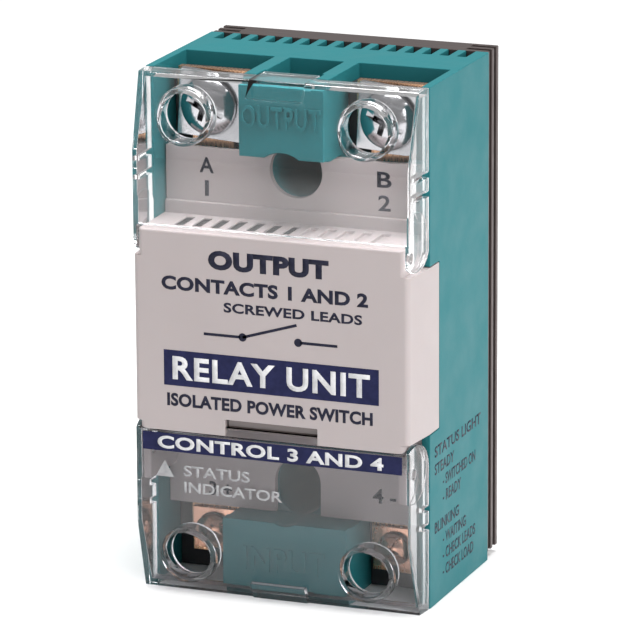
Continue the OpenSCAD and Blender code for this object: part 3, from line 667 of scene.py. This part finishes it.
# terminals
for side in ("left", "right"):
    outputBar = easeEdges(copyNode("output_bar_" + side, "outputBar." + side), 0.12)
    finishPiece(smooth(outputBar), "relay", copperStrip, "copper", "output_bar_" + side)
    inputBar = easeEdges(copyNode("input_bar_" + side, "inputBar." + side), 0.1)
    finishPiece(smooth(inputBar), "relay", copperStrip, "copper", "input_bar_" + side)
    outputWasher = easeEdges(copyNode("output_washer_" + side, "outputWasher." + side), 0.2)
    finishPiece(smooth(outputWasher), "output_washer_" + side, brightNickel, "nickel",
                "output_washer_" + side)
    inputWasher = easeEdges(copyNode("input_washer_" + side, "inputWasher." + side), 0.15)
    finishPiece(smooth(inputWasher), "input_washer_" + side, rosePlate, "brass_pink",
                "input_washer_" + side)
for end in ("upper", "lower"):
    base = easeEdges(copyNode("terminal_base_" + end, "terminalBase." + end), 0.15)
    finishPiece(smooth(base), "relay", darkPlastic, "dark_plastic", "terminal_base_" + end)


def terminalScrew(name, look):
    x, z = look["x"], look["z"]
    headY, underY, endY = look["headY"], look["underY"], look["endY"]
    tall = underY - headY
    rim = look["rim"] * tall
    dome = (look["headR"] ** 2 + (tall - rim) ** 2) / (2 * (tall - rim))
    deselectAll()
    bpy.ops.mesh.primitive_uv_sphere_add(segments=72, ring_count=96, radius=dome * mm,
                                         location=(x * mm, (headY + dome) * mm, z * mm),
                                         rotation=(math.pi / 2, 0, 0))
    head = named(name)
    bpy.ops.object.mode_set(mode="EDIT")
    bpy.ops.mesh.select_all(action="SELECT")
    bpy.ops.mesh.bisect(plane_co=(x * mm, (underY - rim) * mm, z * mm), plane_no=(0, 1, 0),
                        use_fill=True, clear_outer=True, clear_inner=False)
    # the filled face is drawn back to make the side of the head, then the underside
    bpy.ops.mesh.extrude_region_move(TRANSFORM_OT_translate={"value": (0, rim * mm, 0)})
    bpy.ops.object.mode_set(mode="OBJECT")
    easeEdges(head, look["headEdge"], 3, angle=40)
    for turn, length, wide, deep in look["recess"]:
        blade = addBlock("blade", (-length / 2, headY - 0.5, -wide / 2),
                         (length / 2, headY + deep, wide / 2))
        bpy.ops.object.mode_set(mode="EDIT")
        bpy.ops.mesh.select_all(action="DESELECT")
        bpy.ops.object.mode_set(mode="OBJECT")
        for vertex in blade.data.vertices:
            vertex.select = vertex.co.y > (headY + deep - 0.01) * mm
        bpy.ops.object.mode_set(mode="EDIT")
        # the deep cross narrows both ways, the long shallow slot only along its length
        across = look["taper"] if length < look["headR"] * 1.2 else 1
        bpy.ops.transform.resize(value=(look["taper"], 1, across))
        bpy.ops.object.mode_set(mode="OBJECT")
        blade.rotation_euler = (0, math.radians(turn), 0)
        blade.location = (x * mm, 0, z * mm)
        settle(blade)
        cutWith(head, blade)
    easeEdges(head, look["recessEdge"], 2, angle=42)
    # threaded shank: one turn is widened in its middle and repeated
    pitch = look["pitch"]
    count = int((endY - underY - 0.6) / pitch)
    startY = underY + look["neck"]
    turnPiece = addRod(name + "Thread", x, z, look["rootR"], startY, startY + pitch, 40, "NOTHING")
    bpy.ops.object.mode_set(mode="EDIT")
    bpy.ops.mesh.select_all(action="DESELECT")
    bpy.ops.object.mode_set(mode="OBJECT")
    for edge in turnPiece.data.edges:
        a, b = (turnPiece.data.vertices[i].co for i in edge.vertices)
        edge.select = abs(a.y - b.y) > 0.5 * pitch * mm
    bpy.ops.object.mode_set(mode="EDIT")
    bpy.ops.mesh.select_mode(type="EDGE")
    bpy.ops.mesh.subdivide(number_cuts=1)
    bpy.ops.mesh.select_mode(type="VERT")
    bpy.ops.mesh.select_all(action="DESELECT")
    bpy.ops.object.mode_set(mode="OBJECT")
    middle = (startY + pitch / 2) * mm
    for vertex in turnPiece.data.vertices:
        vertex.select = abs(vertex.co.y - middle) < 0.1 * pitch * mm
    bpy.ops.object.mode_set(mode="EDIT")
    grow = look["shankR"] / look["rootR"]
    bpy.ops.transform.resize(value=(grow, 1, grow))
    bpy.ops.object.mode_set(mode="OBJECT")
    applyModifier(turnPiece, "ARRAY", count=count, use_relative_offset=False, use_constant_offset=True,
                  constant_offset_displace=(0, pitch * mm, 0), use_merge_vertices=True,
                  merge_threshold=0.005 * mm)
    bpy.ops.object.mode_set(mode="EDIT")
    bpy.ops.mesh.select_all(action="SELECT")
    bpy.ops.mesh.fill_holes(sides=0)
    bpy.ops.mesh.normals_make_consistent(inside=False)
    bpy.ops.object.mode_set(mode="OBJECT")
    neck = addRod(name + "Neck", x, z, look["rootR"], underY - 0.05, underY + 0.5, 40)
    return smooth(join(name, [head, turnPiece, neck]), 38)


outputScrew = {
    "z": relay["outputZ"], "headY": -33.6, "underY": -30.3, "endY": -22.25, "headR": 5.1, "rim": 0.36,
    "neck": 0.3, "headEdge": 0.14, "recessEdge": 0.05, "shankR": 2.4, "rootR": 2.05, "pitch": 0.8,
    "taper": 0.72,
    "recess": [(22, 5.6, 1.15, 1.9), (112, 5.6, 1.15, 1.9), (22, 12.0, 0.9, 1.0)],
}
inputScrew = {
    "z": relay["inputZ"], "headY": -31.6, "underY": -29.3, "endY": -22.25, "headR": 3.15, "rim": 0.38,
    "neck": 0.3, "headEdge": 0.14, "recessEdge": 0.05, "shankR": 1.66, "rootR": 1.4, "pitch": 0.6,
    "taper": 0.72,
    "recess": [(25, 3.5, 0.75, 1.35), (115, 3.5, 0.75, 1.35), (25, 7.2, 0.62, 0.7)],
}
for side, sign in (("left", -1), ("right", 1)):
    screw = terminalScrew("outputScrew." + side, {**outputScrew, "x": sign * relay["outputX"]})
    finishPiece(screw, "output_screw_" + side, brightNickel, "nickel", "output_screw_" + side)
    screw = terminalScrew("inputScrew." + side, {**inputScrew, "x": sign * relay["inputX"]})
    finishPiece(screw, "input_screw_" + side, rosePlate, "brass_pink", "input_screw_" + side)
print("terminals made")

# clear covers
clearCover = {"edge": 0.16, "endZ": 46.95}


def makeCover(nodeName, name, material):
    cover = copyNode(nodeName, name)
    # the finger tab is brought level with the end wall, so that one radius runs along both
    for vertex in cover.data.vertices:
        vertex.co.z = max(-clearCover["endZ"] * mm, min(clearCover["endZ"] * mm, vertex.co.z))
    bpy.ops.object.mode_set(mode="EDIT")
    bpy.ops.mesh.select_all(action="SELECT")
    bpy.ops.mesh.remove_doubles(threshold=0.004 * mm)
    bpy.ops.mesh.dissolve_degenerate(threshold=0.002 * mm)
    bpy.ops.mesh.dissolve_limited(angle_limit=math.radians(0.6))
    bpy.ops.object.mode_set(mode="OBJECT")
    easeEdges(cover, clearCover["edge"])
    finishPiece(smooth(cover), nodeName, material, "clear_plastic", nodeName)


makeCover("upper_cover", "upperCover", coverClear)
makeCover("lower_cover", "lowerCover", lowerClearShaded)
print("clear covers made")

# printing
printing = {"lift": 0.025, "front": relay["panelY"] + 0.005, "label": relay["labelY"] + 0.005,
            "side": relay["halfWidth"] - 0.005, "sideMargin": 1.4}
ink = printing["lift"]
front = printing["front"]
frontWords = [
    letterMesh("title", "OUTPUT", 22.5, 3.5, -0.3, front, 13.5, bold=0.06, gapScale=1.08),
    letterMesh("contactsLine", "CONTACTS 1 AND 2", 38.6, 2.55, -1.1, front, 9.2, bold=0.042, gapScale=1.05),
    letterMesh("leadsLine", "SCREWED LEADS", 25.8, 1.8, 4.2, front, 6.0, bold=0.032, gapScale=1.05),
    letterMesh("switchLine", "ISOLATED POWER SWITCH", 38.6, 2.4, -0.3, front, -11.9, bold=0.04,
               gapScale=1.04),
]
# contact symbol: two poles, a dot at the inner end of each and an arm
frontWords += [
    addBlock("poleLeft", (-12.5, front - ink, 1.55), (-5.6, front, 2.05)),
    addBlock("poleRight", (5.6, front - ink, 1.55), (12.5, front, 2.05)),
    addRod("dotLeft", -5.2, 1.8, 0.75, front - ink, front, 32),
    addRod("dotRight", 5.2, 1.8, 0.75, front - ink, front, 32),
]
arm = addBlock("arm", (0, front - ink, -0.25), (10.6, front, 0.25))
arm.rotation_euler = (0, math.radians(-17), 0)
arm.location = (-5.2 * mm, 0, 1.8 * mm)
frontWords.append(settle(arm))
frontPrint = join("frontPrint", frontWords)
finishPiece(frontPrint, "relay", greyInk, "dark_plastic")

navyBar = easeEdges(addBlock("navyBar", (-20.15, front - ink, -8.15), (20.15, front, -1.7)), 0.01, 1)
finishPiece(navyBar, "relay", navyInk, "dark_plastic")
barLetters = letterMesh("barLetters", "RELAY UNIT", 37.0, 4.3, 0, front - ink + 0.002, -7.05, bold=0.03,
                        gapScale=1.1)
finishPiece(barLetters, "relay", whiteInk, "white_plastic")

labelWords = []
markSize = {"width": 2.7, "digitWidth": 2.3, "oneWidth": 0.75, "height": 2.9, "letterZ": 27.4,
            "digitZ": 23.1}
for x, upper, lower in ((-16.85, "A", "1"), (16.5, "B", "2")):
    digitWidth = markSize["oneWidth"] if lower == "1" else markSize["digitWidth"]
    labelWords.append(letterMesh("mark" + upper, upper, markSize["width"], markSize["height"], x,
                                 printing["label"], markSize["letterZ"], bold=0.02))
    labelWords.append(letterMesh("mark" + lower, lower, digitWidth, markSize["height"], x,
                                 printing["label"], markSize["digitZ"], bold=0.02))
labelWords.append(letterMesh("mark3", "3 +", 4.4, 2.6, -14.8, printing["label"], -31.4, bold=0.02))
labelWords.append(letterMesh("mark4", "4 -", 4.4, 2.6, 16.4, printing["label"], -29.6, bold=0.02))
finishPiece(join("labelPrint", labelWords), "relay", greyInk, "dark_plastic")

bandFront = relay["panelY"] + 0.005
navyBand = addBlock("navyBand", (-24.4, bandFront - ink, -20.3), (24.4, bandFront, -17.0))
easeEdges(navyBand, 0.01, 1)
finishPiece(navyBand, "lower_cover", navyInk, "dark_plastic")
bandLetters = letterMesh("bandLetters", "CONTROL 3 AND 4", 42.5, 2.35, -0.3, bandFront - ink + 0.002,
                         -19.85, bold=0.035, gapScale=1.06)
finishPiece(bandLetters, "lower_cover", whiteInk, "white_plastic")
statusWords = [
    letterMesh("statusLine", "STATUS", 12.5, 2.0, -10.4, bandFront, -24.6, bold=0.02),
    letterMesh("indicatorLine", "INDICATOR", 18.6, 2.0, -7.3, bandFront, -27.6, bold=0.02),
]
deselectAll()
bpy.ops.mesh.primitive_cylinder_add(vertices=3, radius=2.0 * mm, depth=ink * mm,
                                    location=(-20.2 * mm, (bandFront - ink / 2) * mm, -24.0 * mm),
                                    rotation=(math.pi / 2, 0, 0))
statusWords.append(easeEdges(named("arrow"), 0.01, 1))
finishPiece(join("statusPrint", statusWords), "lower_cover", paleInk, "white_plastic")

sideWords = []
sideLines = [
    ("STATUS LIGHT", 1.0, -20.0, 24.0), ("STEADY", 1.0, -23.2, 10.0), ("- SWITCHED ON", 5.2, -26.2, 17.0),
    ("- READY", 5.2, -29.2, 9.4), ("BLINKING", 1.0, -33.9, 12.6), ("- WAITING", 5.2, -36.9, 12.0),
    ("- CHECK LEADS", 5.2, -39.9, 17.0), ("- CHECK LOAD", 5.2, -42.9, 16.0),
]
for words, depth, low, width in sideLines:
    sideWords.append(letterMesh("side", words, width, 2.05, printing["side"],
                                relay["rimY"] + printing["sideMargin"] + depth, low,
                                align="LEFT", bold=0.02, side="right"))
finishPiece(join("sidePrint", sideWords), "relay", greyInk, "dark_plastic")
print("printing made")

# floor, light and camera
studio = {"floor": (0.92, 0.92, 0.92), "world": 0.36, "key": 5.6, "top": 10.0, "fill": 0.25}
deselectAll()
bpy.ops.mesh.primitive_plane_add(size=6, location=(0, 0, floorZ))
floor = named("floor")
floorParts = newMaterial("floorPaper")
floorMaterial, floorShader = floorParts[0], floorParts[2]
floorShader.inputs["Base Color"].default_value = (*studio["floor"], 1)
floorShader.inputs["Roughness"].default_value = 0.8
floor.data.materials.append(floorMaterial)

world = bpy.data.worlds.new("studioWorld")
bpy.context.scene.world = world
world.use_nodes = True
world.node_tree.nodes["Background"].inputs["Color"].default_value = (1, 1, 1, 1)
world.node_tree.nodes["Background"].inputs["Strength"].default_value = studio["world"]


def addLamp(name, power, size, place, aim=(0, -0.03, 0)):
    data = bpy.data.lights.new(name, "AREA")
    data.energy = power
    data.shape = "RECTANGLE"
    data.size, data.size_y = size
    lamp = bpy.data.objects.new(name, data)
    bpy.context.scene.collection.objects.link(lamp)
    lamp.location = place
    lamp.rotation_euler = (Vector(aim) - Vector(place)).to_track_quat("-Z", "Y").to_euler()
    return lamp


addLamp("keyRight", studio["key"], (0.5, 0.7), (0.75, -0.25, 0.35))
addLamp("topSoft", studio["top"], (0.6, 0.6), (0.0, -0.05, 0.8))
addLamp("fillLeft", studio["fill"], (0.5, 0.8), (-0.6, -0.7, 0.3))

az, el, roll = (math.radians(camera[k]) for k in ("azimuth", "elevation", "roll"))
back = Vector((math.sin(az) * math.cos(el), -math.cos(az) * math.cos(el), math.sin(el)))
right = Vector((math.cos(az), math.sin(az), 0))
up = back.cross(right)
rolledRight = right * math.cos(roll) + up * math.sin(roll)
rolledUp = up * math.cos(roll) - right * math.sin(roll)
target = Vector(camera["target"]) * mm
place = target + back * camera["distance"] * mm
aim = target + rolledRight * camera["aimRight"] * mm + rolledUp * camera["aimUp"] * mm
backward = (place - aim).normalized()
sideways = rolledUp.cross(backward).normalized()
upward = backward.cross(sideways)
cameraData = bpy.data.cameras.new("camera")
cameraData.sensor_width = 36
cameraData.lens = camera["lens"]
cameraData.clip_start, cameraData.clip_end = 0.05, 20
cameraObject = bpy.data.objects.new("camera", cameraData)
bpy.context.scene.collection.objects.link(cameraObject)
turn = Matrix((sideways, upward, backward)).transposed().to_4x4()
cameraObject.matrix_world = Matrix.Translation(place) @ turn
bpy.context.scene.camera = cameraObject
bpy.context.scene.view_settings.view_transform = "Standard"
print("studio ready")
